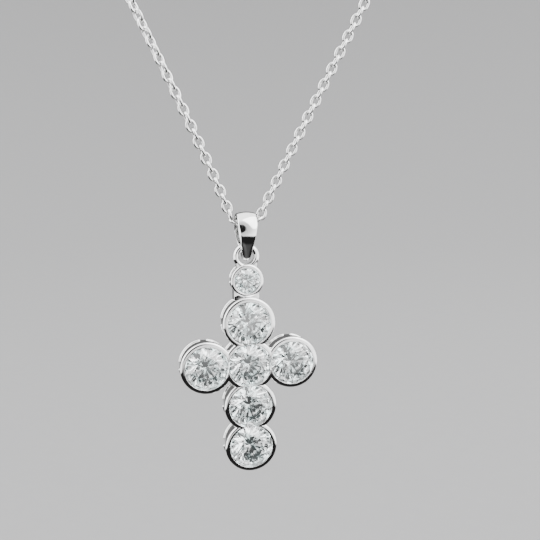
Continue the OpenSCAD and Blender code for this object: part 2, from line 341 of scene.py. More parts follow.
def slab(outline: Array, back: float, front: float, edge: float) -> Skin:
    """Gives a flat outline thickness, with rounded edges.

    A row at angle a round an edge is the outline drawn in by edge * (1 - cos(a)), at the height
    edge * (1 - sin(a)) from the face. A row more on the face and one more on the side, 1.6 and 1.4 edges
    away from the corner, keep the flats flat in the light.

    Args:
        outline: The outline's points, counterclockwise.
        back: Height of the back face.
        front: Height of the front face.
        edge: Radius of the edges.
    """
    tangent = unit(np.roll(outline, -1, axis=0) - np.roll(outline, 1, axis=0))
    inwards = stacked(-tangent[:, 1], tangent[:, 0])
    angles = np.radians(np.linspace(90, 0, 6))
    on_face, on_side = 1.6 * edge, 1.4 * edge
    inset = np.concatenate([[on_face], edge * (1 - np.cos(angles)), [0]])
    height = np.concatenate([[0], edge * (1 - np.sin(angles)), [on_side]])
    inset = np.concatenate([inset, inset[::-1]])
    height = np.concatenate([back + height, front - height[::-1]])
    flat = outline[None] + inset[:, None, None] * inwards[None]
    points = stacked(flat[..., 0], flat[..., 1], height[:, None])
    return Skin.grid(points, columns_close=True).capped(len(outline))


# Finishes

SMOOTH = {"interpolation_type": "SMOOTHSTEP"}


class Value:
    """A number's socket in a material's nodes. Sums and products with it add Math nodes."""

    def __init__(self, nodes: Nodes, socket: bpy.types.NodeSocket) -> None:
        """Wraps a socket of the nodes."""
        self.nodes = nodes
        self.socket = socket

    def math(self, operation: str, *values: Any) -> Value:
        """Adds a Math node on this value and others, and returns its result."""
        made = self.nodes.add("ShaderNodeMath", {"operation": operation}, dict(enumerate(values)))
        return Value(self.nodes, made.outputs[0])

    def __add__(self, other: Any) -> Value:
        """Returns the sum."""
        return self.math("ADD", self, other)

    def __sub__(self, other: Any) -> Value:
        """Returns the difference."""
        return self.math("SUBTRACT", self, other)

    def __rsub__(self, other: Any) -> Value:
        """Returns the difference, from the other value."""
        return self.math("SUBTRACT", other, self)

    def __mul__(self, other: Any) -> Value:
        """Returns the product."""
        return self.math("MULTIPLY", self, other)

    def __pow__(self, other: Any) -> Value:
        """Returns the power."""
        return self.math("POWER", self, other)

    def step(self, low: float, high: float) -> Value:
        """Returns 0 below low and 1 over high, with a smooth rise between."""
        inputs = {"Value": self, "From Min": low, "From Max": high}
        return Value(self.nodes, self.nodes.add("ShaderNodeMapRange", SMOOTH, inputs).outputs[0])


class Nodes:
    """The nodes of one material or world."""

    def __init__(self, owner: bpy.types.Material | bpy.types.World, output: str = "ShaderNodeOutputMaterial") -> None:
        """Starts the owner's nodes with nothing but its output."""
        self.owner = owner
        owner.use_nodes = True
        self.tree = owner.node_tree
        self.tree.nodes.clear()
        self.output = self.add(output)

    def add(
        self, kind: str, settings: dict[str, Any] | None = None, inputs: dict[Any, Any] | None = None
    ) -> bpy.types.Node:
        """Adds a node.

        Args:
            kind: The node's type.
            settings: Its properties, set first.
            inputs: A number, colour, socket or Value for each input, by name or place.

        Returns:
            The node.
        """
        node = self.tree.nodes.new(kind)
        for name, setting in (settings or {}).items():
            setattr(node, name, setting)
        for key, given in (inputs or {}).items():
            source = given.socket if isinstance(given, Value) else given
            if isinstance(source, bpy.types.NodeSocket):
                self.tree.links.new(source, node.inputs[key])
            else:
                node.inputs[key].default_value = source
        return node

    def noise(self, size: float, detail: float = 2.0, stretch: Sequence[float] = (1, 1, 1)) -> Value:
        """Returns noise on the piece's own coordinates.

        Args:
            size: Size of its lumps in millimetres.
            detail: How many finer layers it has.
            stretch: How much denser the lumps are along each axis.
        """
        place = self.add("ShaderNodeTexCoord").outputs["Object"]
        scale = [part / (size * MM) for part in stretch]
        mapped = self.add("ShaderNodeMapping", {"vector_type": "POINT"}, {"Vector": place, "Scale": scale})
        inputs = {"Vector": mapped.outputs[0], "Scale": 1.0, "Detail": detail}
        return Value(self, self.add("ShaderNodeTexNoise", {}, inputs).outputs[0])

    def blend(self, share: Value, low: Sequence[float], high: Sequence[float]) -> bpy.types.NodeSocket:
        """Returns a colour between two others, by a share from 0 to 1."""
        colours = {"Factor": share, 6: (*low, 1), 7: (*high, 1)}
        return self.add("ShaderNodeMix", {"data_type": "RGBA", "clamp_factor": True}, colours).outputs[2]

    def bump(self, height: Value, depth: float) -> bpy.types.NodeSocket:
        """Returns normals tilted by a height from 0 to 1 that stands for a depth in millimetres."""
        inputs = {"Strength": 1.0, "Distance": depth * MM, "Height": height}
        return self.add("ShaderNodeBump", {}, inputs).outputs[0]

    def finished(self, inputs: dict[str, Any], kind: str = "ShaderNodeBsdfPrincipled") -> Any:
        """Ends the nodes in a shader with these inputs and returns the material or world."""
        shader = self.add(kind, {}, inputs)
        self.tree.links.new(shader.outputs[0], self.output.inputs[0])
        return self.owner


@dataclass(frozen=True)
class PolishedMetal:
    """Polished white metal, with the waviness of hand polishing and hairline scratches.

    Args:
        name: The material's name.
        bright, dull: Its colours where the polish is full and where it is a little dull.
        wave_size, wave_depth: Size and depth of the polish's waves in millimetres.
        hair_size, hair_depth: Width and depth of the hairline scratches.
        hair_stretch: How much denser they lie along each axis.
        dull_size: Size of the dull patches.
        dull_from: Noise at which such a patch starts, and from which it is whole.
        smooth, rough: Roughness where the polish is full and where it is dull.
    """

    name: str
    bright: Triple = (0.9, 0.9, 0.895)
    dull: Triple = (0.8, 0.805, 0.81)
    wave_size: float = 0.9
    wave_depth: float = 0.006
    hair_size: float = 0.05
    hair_depth: float = 0.00025
    hair_stretch: Triple = (1.0, 1.0, 0.15)
    dull_size: float = 0.35
    dull_from: Pair = (0.45, 0.75)
    smooth: float = 0.05
    rough: float = 0.13

    def material(self) -> bpy.types.Material:
        """Returns the material."""
        nodes = Nodes(bpy.data.materials.new(self.name))
        waviness = nodes.noise(self.wave_size, 1.0)
        hairs = nodes.noise(self.hair_size, 2.0, self.hair_stretch)
        dullness = nodes.noise(self.dull_size, 3.0).step(*self.dull_from)
        height = waviness * self.wave_depth + hairs * self.hair_depth
        return nodes.finished({
            "Base Color": nodes.blend(dullness, self.bright, self.dull),
            "Metallic": 1.0,
            "Roughness": dullness * (self.rough - self.smooth) + self.smooth,
            "Normal": nodes.bump(height, 1.0),
        })


@dataclass(frozen=True)
class CutStone:
    """A clear cut stone with a faint cool tint that differs a little over it, and a faint painted glow in that tint.

    Args:
        name: The material's name.
        clear, tinted: Its clearest and its most tinted colour.
        tint_size: Size of the tinted patches in millimetres.
        tint_from: Noise at which a patch starts, and from which it is whole.
        bending: Its index of refraction.
        painted_glow: Strength of a painted glow: each facet emits the stone's tint, though it is no lamp.
    """

    name: str = "cut_stone"
    clear: Triple = (1.0, 1.0, 1.0)
    tinted: Triple = (0.78, 0.94, 0.945)
    tint_size: float = 0.8
    tint_from: Pair = (0.35, 0.65)
    bending: float = 2.417
    painted_glow: float = 0.02

    def material(self) -> bpy.types.Material:
        """Returns the material."""
        nodes = Nodes(bpy.data.materials.new(self.name))
        patches = nodes.noise(self.tint_size, 1.0).step(*self.tint_from)
        tint = nodes.blend(patches, self.clear, self.tinted)
        return nodes.finished({
            "Base Color": tint,
            # Painted glow: the stone emits its own tint faintly, as if it were a lamp
            "Emission Color": tint,
            "Emission Strength": self.painted_glow,
            "Metallic": 0.0,
            "Roughness": 0.0,
            "IOR": self.bending,
            "Transmission Weight": 1.0,
        })


@dataclass(frozen=True)
class MattePaper:
    """The studio's pale paper, with a faint grain.

    Args:
        name: The material's name.
        light, shade: Its lightest colour and the colour of its grain.
        grain_size: The grain's size in millimetres.
    """

    name: str = "studio_paper"
    light: Triple = (0.29, 0.29, 0.293)
    shade: Triple = (0.275, 0.275, 0.278)
    grain_size: float = 3.0

    def material(self) -> bpy.types.Material:
        """Returns the material."""
        nodes = Nodes(bpy.data.materials.new(self.name))
        grain = nodes.noise(self.grain_size, 4.0)
        return nodes.finished({"Base Color": nodes.blend(grain, self.light, self.shade), "Roughness": 0.9})


@dataclass(frozen=True)
class Patch:
    """A round patch of the surroundings that fades out towards its edge.

    Args:
        turn, rise: Degrees of its middle from the front towards the viewer's right, and above level.
        inner, outer: Degrees from its middle up to which it is whole, and at which it has faded out.
    """

    turn: float
    rise: float
    inner: float
    outer: float


@dataclass(frozen=True)
class Tent:
    """The white tent round the necklace, with an opening for the lens, a dark wall behind and a dark table.

    Args:
        white, grey: Brightness of the tent, and of its front round the opening.
        back, dark: Brightness of the wall behind, and of the table and the opening.
        below, below_from: Brightness added straight below, and how far down that starts, as a sine.
        glow: Brightness added where the table shines.
        edge_front, edge_side: Degrees above level of the table's edge in front, and at the sides and behind.
        edge_soft: How far the edge fades to each side, as a sine.
        lens, front, wall, shine: The opening, the grey front, the wall behind and the table's shine.
    """

    white: float = 3.2
    grey: float = 1.1
    back: float = 0.16
    dark: float = 0.02
    below: float = 0.25
    below_from: float = 0.7
    glow: float = 1.2
    edge_front: float = -13.5
    edge_side: float = -21.0
    edge_soft: float = 0.05
    lens: Patch = Patch(-13.0, 15.0, 18.0, 22.0)
    front: Patch = Patch(-13.0, 15.0, 22.0, 46.0)
    wall: Patch = Patch(180.0, 8.0, 33.6, 50.4)
    shine: Patch = Patch(180.0, -50.0, 20.4, 40.8)

    def world(self) -> bpy.types.World:
        """Returns the world.

        The table's edge lies at edge_side, and nears edge_front as the square of how far forward it is.
        """
        nodes = Nodes(bpy.data.worlds.new("tent"), "ShaderNodeOutputWorld")
        way = nodes.add("ShaderNodeTexCoord").outputs["Generated"]
        _, forward, up = (Value(nodes, part) for part in nodes.add("ShaderNodeSeparateXYZ", {}, {0: way}).outputs)

        def share(patch: Patch) -> Value:
            """Returns 1 within a patch and 0 outside it."""
            middle = {0: way, 1: towards(patch.turn, patch.rise)}
            made = nodes.add("ShaderNodeVectorMath", {"operation": "DOT_PRODUCT"}, middle)
            cosine = Value(nodes, made.outputs["Value"])
            return cosine.step(math.cos(math.radians(patch.outer)), math.cos(math.radians(patch.inner)))

        front, side = math.sin(math.radians(self.edge_front)), math.sin(math.radians(self.edge_side))
        edge = forward.math("MINIMUM", forward, 0.0) ** 2 * (front - side) + side
        above = (up - edge).step(-self.edge_soft, self.edge_soft)
        tent = self.white - share(self.front) * (self.white - self.grey) - share(self.wall) * (self.white - self.back)
        under = (0 - up).step(self.below_from, 1.0) * self.below
        light = above * (1 - share(self.lens)) * tent + under + share(self.shine) * self.glow + self.dark
        return nodes.finished({"Color": (1, 1, 1, 1), "Strength": light}, "ShaderNodeBackground")


@dataclass
class SubAssembly:
    """What the groups of pieces share: a finish and the body that they ride on. The material slot is not used."""

    finish: bpy.types.Material
    body: Body
    slot: Slot

    def make(self, name: str, skin: Skin, *nodes: str, crease: float = 35.0) -> None:
        """Makes a piece of the necklace from a surface.

        Args:
            name: The piece's name.
            skin: Its surface, in millimetres where it hangs.
            nodes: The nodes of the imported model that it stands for.
            crease: The angle in degrees from which its edges stay sharp.
        """
        piece = placed(name, skin.mesh(name, crease))
        piece.data.materials.append(self.finish)
        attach(piece, self.body.value)
        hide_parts(*nodes)
        log.info("%s: %d faces", name, len(piece.data.polygons))


# The cross


@dataclass(frozen=True)
class Cup:
    """A bezel cup, on the bench.

    Args:
        at: Middle of its stone's girdle.
        stone_d: The stone's diameter.
        rim_w, rim_h: Width of the rim outside the stone, and its height over the girdle.
        depth: Depth of the cup behind the girdle.
        ledge_w: Width of the ledge under the stone's edge.
        planes: Direction and distance of the planes where neighbours carry on.
        taper, wall_z: How much smaller the wall's radius is at the back, and the height where that starts.
        round_share, fall_share: Shares of the rim's width and height that its rounded shoulder takes.
        land_share: Share of the rim's width that is flat.
        back_wall, flare: Thickness to which the hollow thins the wall, and how far behind the back.
        edge: Radius of the edges.
        lip_w, lip_h: How far the lip reaches over the stone, and the height of its inner edge.
        crown_lean, ledge_lean: Angles of the stone's crown and of the ledge in degrees.
        play, girdle_t: Clearance round the stone, and thickness of its girdle.
        wire_d, wire_break: Thickness of the wire round the back edge, and width of its breaks in degrees.
        columns, round_steps: Columns in a whole turn, and steps over the shoulder.
        cuts: Degrees from the middle of a neighbour's plane at which the section gets points.
    """

    at: Triple
    stone_d: float = 4.1
    rim_w: float = 0.56
    rim_h: float = 0.38
    depth: float = 1.85
    ledge_w: float = 0.34
    planes: tuple[Pair, ...] = ()
    taper: float = 0.2
    wall_z: float = -0.1
    round_share: float = 0.68
    fall_share: float = 0.72
    land_share: float = 0.1
    back_wall: float = 0.18
    flare: float = 0.3
    edge: float = 0.025
    lip_w: float = 0.03
    lip_h: float = 0.03
    crown_lean: float = 42.0
    ledge_lean: float = 42.5
    play: float = 0.02
    girdle_t: float = 0.08
    wire_d: float = 0.26
    wire_break: float = 20.0
    columns: int = 168
    round_steps: int = 18
    cuts: tuple[float, ...] = tuple(range(0, 38, 4))

    @property
    def outer_r(self) -> float:
        """The rim's outer radius."""
        return self.stone_d / 2 + self.rim_w

    def profile(self) -> Array:
        """Returns the closed section: shoulder, rim, slope to the lip, seat, ledge, open back and wall.

        The shoulder is a quarter of a squarish oval: the cubes of the shares across and up add up to 1.
        Where it leans by an angle from the front, across / up is the root of width / height * tan(lean).
        It takes the place of the two points of the first corner.
        """
        r = self.stone_d / 2
        seat_z = self.girdle_t / 2 + self.play
        lip_r, seat_r, hollow_r = r - self.lip_w, r + self.play, r + self.play - self.ledge_w
        lip_z = seat_z + self.lip_w * math.tan(math.radians(self.crown_lean))
        ledge_z = seat_z + self.ledge_w * math.tan(math.radians(self.ledge_lean))
        rim_r = self.outer_r - (self.round_share + self.land_share) * self.rim_w
        tube_z = (self.depth + ledge_z) / 2
        back_outer_r = self.outer_r - self.taper
        opening = (back_outer_r - self.back_wall - hollow_r) / (self.depth + self.flare - tube_z)
        back_r = hollow_r + opening * (self.depth - tube_z)
        # Radius and height of each corner, the radius of its rounding and the steps in it
        corners = np.array([
            (self.outer_r, self.rim_h, 0.01, 1), (rim_r, self.rim_h, self.edge, 5),
            (lip_r, lip_z + self.lip_h, 0.012, 3), (lip_r, lip_z, 0.008, 2),
            (seat_r, seat_z, 0.01, 2), (seat_r, -seat_z, 0.01, 2),
            (hollow_r, -ledge_z, self.edge, 3), (hollow_r, -tube_z, 0.1, 3),
            (back_r, -self.depth, self.edge, 3), (back_outer_r, -self.depth, self.edge, 3),
            (self.outer_r, self.wall_z, 0.3, 2),
        ])
        wide, tall = self.round_share * self.rim_w, self.fall_share * self.rim_h
        ratio = np.sqrt(wide / tall * np.tan(np.radians(np.linspace(90, 0, self.round_steps + 1))))
        up = (1 + ratio**3) ** (-1 / 3)
        shoulder = stacked(self.outer_r - wide * (1 - ratio * up), self.rim_h - tall * (1 - up))
        line = np.concatenate([shoulder, rounded(corners[:, :2], corners[:, 2], corners[:, 3].astype(int))[2:]])
        distances = np.unique([distance for _, distance in self.planes])
        return with_radii(line, (distances[:, None] / np.cos(np.radians(self.cuts))).ravel())

    def shell(self) -> Skin:
        """Returns the cup's surface, trimmed at its planes."""
        return turned(self.profile(), self.planes, self.columns).moved(self.at)

    def back_wires(self) -> Skin:
        """Returns the wire round the cup's back edge, broken above, below and at both sides."""
        ring_r = self.outer_r - self.taper
        gap = {direction: math.degrees(math.acos(h / ring_r)) for direction, h in self.planes}
        arcs = []
        for quarter in range(4):
            start = 90 * quarter + gap.get(90.0 * quarter, self.wire_break / 2)
            stop = 90 * (quarter + 1) - gap.get(90.0 * ((quarter + 1) % 4), self.wire_break / 2)
            arcs.append(wire_arc(ring_r, self.wire_d / 2, start, stop))
        return Skin.joined(arcs).moved(np.add(self.at, (0, 0, -self.depth + self.wire_d / 2)))


@dataclass
class Setting(SubAssembly):
    """The soldered metal of the cross: six large cups, a small cup, a neck plate, a shoulder and an eye.

    Args:
        pitch, arm: Distance between stones on the upright, and from the centre stone to a side stone.
        small: The cup of the small top stone. Its ledge is as wide for its size as a large one's.
        neck_w, neck_t: Width and thickness of the neck plate.
        neck_back: Height of its back on the bench.
        neck_tuck: How far its upper corners lie below the middle of the small cup.
        large_wall_r, small_wall_r: Radii of the middles of the cups' walls, in which it ends.
        shoulder_w, shoulder_t: Width and thickness of the shoulder under the eye.
        shoulder_drop: Distance of its top under the eye's middle.
        shoulder_round: Radius of its upper corners.
        eye_y, eye_z: The eye's distance from the centre stone, and its height on the bench.
        eye_r, eye_wire_d: Its radius at the middle of its wire, and the wire's thickness.
        edge: Radius of the edges of the plate and the shoulder.
    """

    pitch: float = 4.18
    arm: float = 4.28
    small: Cup = Cup((0.0, 8.33, -0.5), stone_d=2.4, rim_w=0.42, rim_h=0.3, depth=1.35, ledge_w=0.34 * 2.4 / 4.1)
    neck_w: float = 2.5
    neck_t: float = 0.9
    neck_back: float = -1.65
    neck_tuck: float = 0.67
    large_wall_r: float = 2.3
    small_wall_r: float = 1.32
    shoulder_w: float = 2.0
    shoulder_t: float = 0.56
    shoulder_drop: float = 0.62
    shoulder_round: float = 0.06
    eye_y: float = 10.7
    eye_r: float = 1.0
    eye_wire_d: float = 0.6
    eye_z: float = -0.7
    edge: float = 0.03

    def large_cups(self) -> list[Cup]:
        """Returns the six large cups, which meet their neighbours half way."""
        up, side = self.pitch / 2, self.arm / 2
        right, above, left, below = (0.0, side), (90.0, up), (180.0, side), (270.0, up)
        return [
            Cup((0, 0, 0), planes=(right, above, left, below)),
            Cup((0, self.pitch, 0), planes=(below,)),
            Cup((-self.arm, 0, 0), planes=(right,)),
            Cup((self.arm, 0, 0), planes=(left,)),
            Cup((0, -self.pitch, 0), planes=(above, below)),
            Cup((0, -2 * self.pitch, 0), planes=(above,)),
        ]

    def neck(self) -> Skin:
        """Returns the plate between the upper and the small cup. Its ends follow the middles of their walls."""
        side, small_y = self.neck_w / 2, self.small.at[1]
        high = small_y - self.neck_tuck
        low_x = np.linspace(-side, side, 33)
        low = stacked(low_x, self.pitch + np.sqrt(self.large_wall_r**2 - low_x**2))
        high_x = np.sqrt(self.small_wall_r**2 - self.neck_tuck**2) * np.cos(np.linspace(0, math.pi, 33))
        arc = stacked(high_x, small_y - np.sqrt(self.small_wall_r**2 - high_x**2))
        outline = np.concatenate([low, [(side, high)], arc, [(-side, high)]])
        return slab(outline, self.neck_back, self.neck_back + self.neck_t, self.edge)

    def shoulder(self) -> Skin:
        """Returns the shoulder under the eye. Its top follows the middle of the eye's wire."""
        side, bend = self.shoulder_w / 2, self.shoulder_round
        low, top = self.small.at[1] + self.small.stone_d / 2, self.eye_y - self.shoulder_drop
        reach = math.degrees(math.acos(self.shoulder_drop / self.eye_r))
        across, up = waves(np.linspace(270 + reach, 270 - reach, 33))
        hollow = stacked(self.eye_r * across, self.eye_y + self.eye_r * up)
        turn_x, turn_y = waves(np.linspace(0, 90, 7))
        corner = stacked(side - bend + bend * turn_x, top - bend + bend * turn_y)
        outline = np.concatenate([[(-side, low), (side, low)], corner, hollow, corner[::-1] * (-1, 1)])
        return slab(outline, self.eye_z - self.shoulder_t / 2, self.eye_z + self.shoulder_t / 2, self.edge)

    def build(self) -> None:
        """Makes the pieces of the cross's metal."""
        large = self.large_cups()
        pieces = {
            "large_cups": Skin.joined(cup.shell() for cup in large),
            "small_cup": self.small.shell(),
            "back_wires": Skin.joined(cup.back_wires() for cup in [*large, self.small]),
            "neck_plate": self.neck(),
            "shoulder": self.shoulder(),
            "eye": ring(self.eye_r, self.eye_wire_d / 2, 96, 32).moved((0, self.eye_y, self.eye_z)),
        }
        for name, skin in pieces.items():
            self.make(name, skin.upright().moved(CROSS_AT), "setting")


@dataclass
class Stones:
    """The seven round brilliants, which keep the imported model's facets.

    Args:
        finish: The cut stone's material.
    """

    finish: bpy.types.Material

    def dress(self, nodes: dict[str, bpy.types.Object]) -> None:
        """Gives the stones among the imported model's nodes their material."""
        stones = [node for name, node in nodes.items() if name.startswith("stone_")]
        for stone in stones:
            stone.data.materials.clear()
            stone.data.materials.append(self.finish)
        log.info("stones: %d cut stones", len(stones))


# The bail


@dataclass
class Bail(SubAssembly):
    """A tapered strap bent into a closed loop: wide over the chain, and a narrow bar through the eye.

    Args:
        reach: Distance from the chain to the eye's top wire.
        arch_w, arch_h: Inner depth of the arch, front to back, and inner height over its widest place.
        arch_z: Height of that place, from the chain.
        strap_t: The strap's thickness in the arch.
        bend_r: Inner radius of the bend at the bottom.
        bar_t, bar_r: Thickness of the bar there, and outer radius of the bend.
        bail_w, bar_w: Width over the arch and of the bar.
        taper_low: How far under the chain's axis the strap starts to narrow.
        bar_round, strap_round: Radius of the edges at the bar and over the arch.
        round_until: Shares of the way up from the bar between which one radius becomes the other.
        most_round: The most of the strap's width and of its thickness that an edge takes.
        dome: How far the strap's outer face falls from its middle to its edges.
        arch_steps, side_steps: Steps over the arch and along each side.
        bend_steps, edge_steps: Steps round the bend and round an edge.
        flat_shares: Places of the points between two edges.
    """

    reach: float = 2.35
    arch_w: float = 2.0
    arch_h: float = 1.6
    arch_z: float = -1.03
    strap_t: float = 0.4
    bend_r: float = 0.34
    bar_t: float = 1.1
    bar_r: float = 0.66
    bail_w: float = 1.88
    taper_low: float = 0.3
    bar_w: float = 0.86
    bar_round: float = 0.44
    strap_round: float = 0.08
    round_until: Pair = (0.2, 0.6)
    most_round: float = 0.45
    dome: float = 0.15
    arch_steps: int = 64
    side_steps: int = 10
    bend_steps: int = 48
    edge_steps: int = 6
    flat_shares: tuple[float, ...] = (0.04, 0.2, 0.35, 0.5, 0.65, 0.8, 0.96)

    def line(self, a: float, b: float, z: float, r: float) -> Array:
        """Returns a closed line of the side view: over the arch, down the front, round the bend and up the back.

        The arch is an ellipse of half width a and height b. Both straps touch it and the bend's circle,
        leaning by the angle whose sine is (r * d - sqrt(r^2 * d^2 - k * (r^2 - a^2))) / k, with the
        distance d between the two middles and k = d^2 + a^2 - b^2.

        Args:
            a: The ellipse's half width.
            b: The ellipse's height.
            z: Height of the bend's middle.
            r: The bend's radius.

        Returns:
            Depth and height of each point, from the chain.
        """
        d = self.arch_z - z
        k = d * d + a * a - b * b
        lean = math.degrees(math.asin((r * d - math.sqrt(r * r * d * d - k * (r * r - a * a))) / k))
        begin = math.degrees(math.atan(b / a * math.tan(math.radians(lean))))
        over_x, over_z = waves(np.linspace(begin, 180 - begin, self.arch_steps + 1))
        under_x, under_z = waves(np.linspace(180 - lean, 360 + lean, self.bend_steps + 1))
        arch = stacked(a * over_x, self.arch_z + b * over_z)
        bend = stacked(r * under_x, z + r * under_z)
        share = np.linspace(0, 1, self.side_steps + 1)[:-1, None]
        front = (1 - share) * arch[-1] + share * bend[0]
        back = (1 - share) * bend[-1] + share * arch[0]
        return np.concatenate([arch[:-1], front, bend[:-1], back])

    def build(self) -> None:
        """Makes the bail. Each section is a rectangle across the strap, between its inner and outer lines.

        Its corners are quarter ellipses, and its width and edges change with the height of its middle.
        """
        inner = self.line(self.arch_w / 2, self.arch_h, -self.reach, self.bend_r)
        bar_top = -self.reach - self.bend_r
        bar_z, bar_mid = bar_top - self.bar_t + self.bar_r, bar_top - self.bar_t / 2
        outer = self.line(self.arch_w / 2 + self.strap_t, self.arch_h + self.strap_t, bar_z, self.bar_r)
        middle = (inner + outer) / 2
        thick = np.linalg.norm(outer - inner, axis=1)[:, None]
        way = (outer - inner) / thick
        share = np.clip((middle[:, 1:] - bar_mid) / (-self.taper_low - bar_mid), 0, 1)
        wide = self.bar_w + (self.bail_w - self.bar_w) * share
        low, high = self.round_until
        edge = self.bar_round + (self.strap_round - self.bar_round) * np.clip((share - low) / (high - low), 0, 1)
        edge_x, edge_t = np.minimum(wide * self.most_round, edge), np.minimum(thick * self.most_round, edge)
        count = self.edge_steps + 1
        turn_x, turn_t = waves((np.arange(4)[:, None] * 90 + np.linspace(0, 90, count)).ravel())
        side_x, side_t = np.repeat([1, -1, -1, 1], count), np.repeat([1, 1, -1, -1], count)
        x = side_x * (wide / 2 - edge_x) + edge_x * turn_x
        t = side_t * (thick / 2 - edge_t) + edge_t * turn_t
        x, t = self.with_flats(x), self.with_flats(t)
        t = t - np.where(t > 0, self.dome * share * (2 * x / wide) ** 2, 0)
        points = stacked(x, middle[:, :1] + t * way[:, :1], middle[:, 1:] + t * way[:, 1:])
        loop = Skin.grid(points, rows_close=True, columns_close=True)
        self.make("tapered_bail", loop.moved(CHAIN_LOW), "bail")

    def with_flats(self, values: Array) -> Array:
        """Adds points between the four corners of each section, so that the flats stay flat in the light."""
        corners = values.reshape(len(values), 4, -1)
        ahead, share = np.roll(corners, -1, axis=1)[:, :, :1], np.array(self.flat_shares)
        flats = corners[:, :, -1:] * (1 - share) + ahead * share
        return np.concatenate([corners, flats], axis=2).reshape(len(values), -1)


# The chain and the clasp


@dataclass
class CableChain(SubAssembly):
    """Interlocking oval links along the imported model's tube, from the clasp's right side to its left.

    Args:
        link_l, link_w: Outer length and width of a link.
        wire_d: Thickness of the wire.
        oval: Power of the oval's cosine and sine, which flattens its sides under 1.
        bend_sides, wire_sides: Sides round a link and round its wire.
        wire_turn: Angle in degrees of the wire's first side.
        marks: Link numbers and their places along the chain in millimetres, from its lowest place. Links
            between are spread evenly. Odd links face the front.
        twists: Places along the chain and the angle in degrees by which it is twisted there.
        aside: A direction along which the chain never runs, from which each place's frame is made.
        leg_steps: Steps along each leg of the route.
        route: Points that the chain's middle passes through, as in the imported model.
    """

    link_l: float = 1.39
    link_w: float = 1.05
    wire_d: float = 0.27
    oval: float = 0.9
    bend_sides: int = 16
    wire_sides: int = 6
    wire_turn: float = 30.0
    marks: tuple[tuple[int, float], ...] = (
        (-269, -225.61), (-29, -24.06), (-3, -1.86), (1, 1.08), (3, 2.73), (27, 22.48), (269, 225.61),
    )
    twists: tuple[Pair, ...] = (
        (-60, 0), (0, 0), (0.8, 65), (1.3, 65), (1.7, 0), (9, 0), (23, 45), (60, 45),
    )
    aside: Triple = (0.0, -0.6, 0.8)
    leg_steps: int = 60
    route: tuple[Triple, ...] = (
        (4.5, 0, 0), (11, -1, -0.2), (20, -3.6, -0.8), (29.4, -8, -2), (38.4, -14.8, -4),
        (46.4, -24, -7.2), (52.6, -35, -12), (56.4, -47, -19), (56.2, -59, -29), (51.6, -69.4, -41.5),
        (44.4, -77, -56), (36, -82, -73), (27.4, -84.4, -90), (19.2, -85, -106), (12.8, -85, -118),
        (2.2, -85, -138), (1.67, -85, -139.05), (1.36, -85, -139.7), (1, -85, -139.95), (0.46, -85, -140),
        (-0.46, -85, -140), (-1, -85, -139.95), (-1.34, -85, -139.7), (-1.58, -85, -139.05), (-2, -85, -138),
        (-11, -85, -118), (-16.6, -85, -106), (-25, -84.4, -90), (-34.4, -82, -73), (-43.4, -77, -56),
        (-51.2, -69.4, -41.5), (-56, -59, -29), (-56.4, -47, -19), (-52.6, -35, -12), (-46.4, -24, -7.2),
        (-38.4, -14.8, -4), (-29.4, -8, -2), (-20, -3.6, -0.8), (-11, -1, -0.2), (-4.5, 0, 0),
    )

    def curve(self) -> tuple[Array, Array]:
        """Returns close points along the route and the length up to each.

        A leg is the cubic through its two ends with the slopes there. A point's slope is the mean of
        the two legs' directions, each weighted by the other leg's length.
        """
        route = np.array(self.route)
        step = np.diff(route, axis=0)
        leg = np.linalg.norm(step, axis=1)[:, None]
        way = step / leg
        inner = (way[:-1] * leg[1:] + way[1:] * leg[:-1]) / (leg[:-1] + leg[1:])
        slope = np.concatenate([way[:1], inner, way[-1:]])
        t = np.linspace(0, 1, self.leg_steps + 1)[None, :-1, None]
        points = (
            (2 * t**3 - 3 * t**2 + 1) * route[:-1, None] + (t**3 - 2 * t**2 + t) * (leg * slope[:-1])[:, None]
            + (3 * t**2 - 2 * t**3) * route[1:, None] + (t**3 - t**2) * (leg * slope[1:])[:, None]
        ).reshape(-1, 3)
        points = np.concatenate([points, route[-1:]])
        return points, np.concatenate([[0], np.cumsum(np.linalg.norm(np.diff(points, axis=0), axis=1))])

    def links(self) -> Skin:
        """Returns all links.

        A link's wire has its middle on the oval (a * cos(f), b * sin(f)), whose sides are flattened a
        little. Every other link is turned a quarter about the chain. The chain's frame starts at its
        lowest place, facing the front, and is carried along without twist: the turn that a frame made
        from a fixed direction takes about the chain is summed along it and taken off again.
        """
        points, length = self.curve()
        ahead = unit(np.gradient(points, axis=0))
        across = unit(np.cross(ahead, self.aside))
        over = np.cross(ahead, across)
        steps = np.concatenate([[0], np.cumsum((np.diff(across, axis=0) * over[:-1]).sum(axis=1))])
        low = length[-1] / 2
        at_low = int(np.searchsorted(length, low))
        angle = steps[at_low] - steps + math.atan2(-over[at_low, 1], -across[at_low, 1])
        ends = [self.end_twist(angle[end], across[end], over[end]) for end in (0, -1)]
        twist_at = [length[0] - low, *(at for at, _ in self.twists), length[-1] - low]
        twist = np.radians([ends[0], *(degrees for _, degrees in self.twists), ends[1]])
        number = np.arange(self.marks[0][0], self.marks[-1][0] + 1)
        place = low + np.interp(number, *zip(*self.marks))

        def carried(values: Array) -> Array:
            """Returns the values along the curve at each link."""
            return stacked(*(np.interp(place, length, column) for column in values.T))

        past = np.clip(place, None, 0) + np.clip(place - length[-1], 0, None)
        tangent, base = unit(carried(ahead)), unit(carried(across))
        middle = carried(points) + past[:, None] * tangent
        turn = (np.interp(place, length, angle) + np.interp(place - low, twist_at, twist))[:, None]
        front = base * np.cos(turn) + np.cross(tangent, base) * np.sin(turn)
        flat = np.cross(tangent, front)
        odd = (number % 2 == 1)[:, None]
        return self.laid(middle, np.stack([tangent, np.where(odd, flat, front), np.where(odd, front, flat)], axis=1))

    @staticmethod
    def end_twist(angle: float, across: Array, over: Array) -> float:
        """Returns the smallest twist in degrees that lays an end link level, so that it passes through its eyelet."""
        needed = math.atan2(over[2], across[2]) - angle
        return math.degrees((needed + math.pi / 2) % math.pi - math.pi / 2)

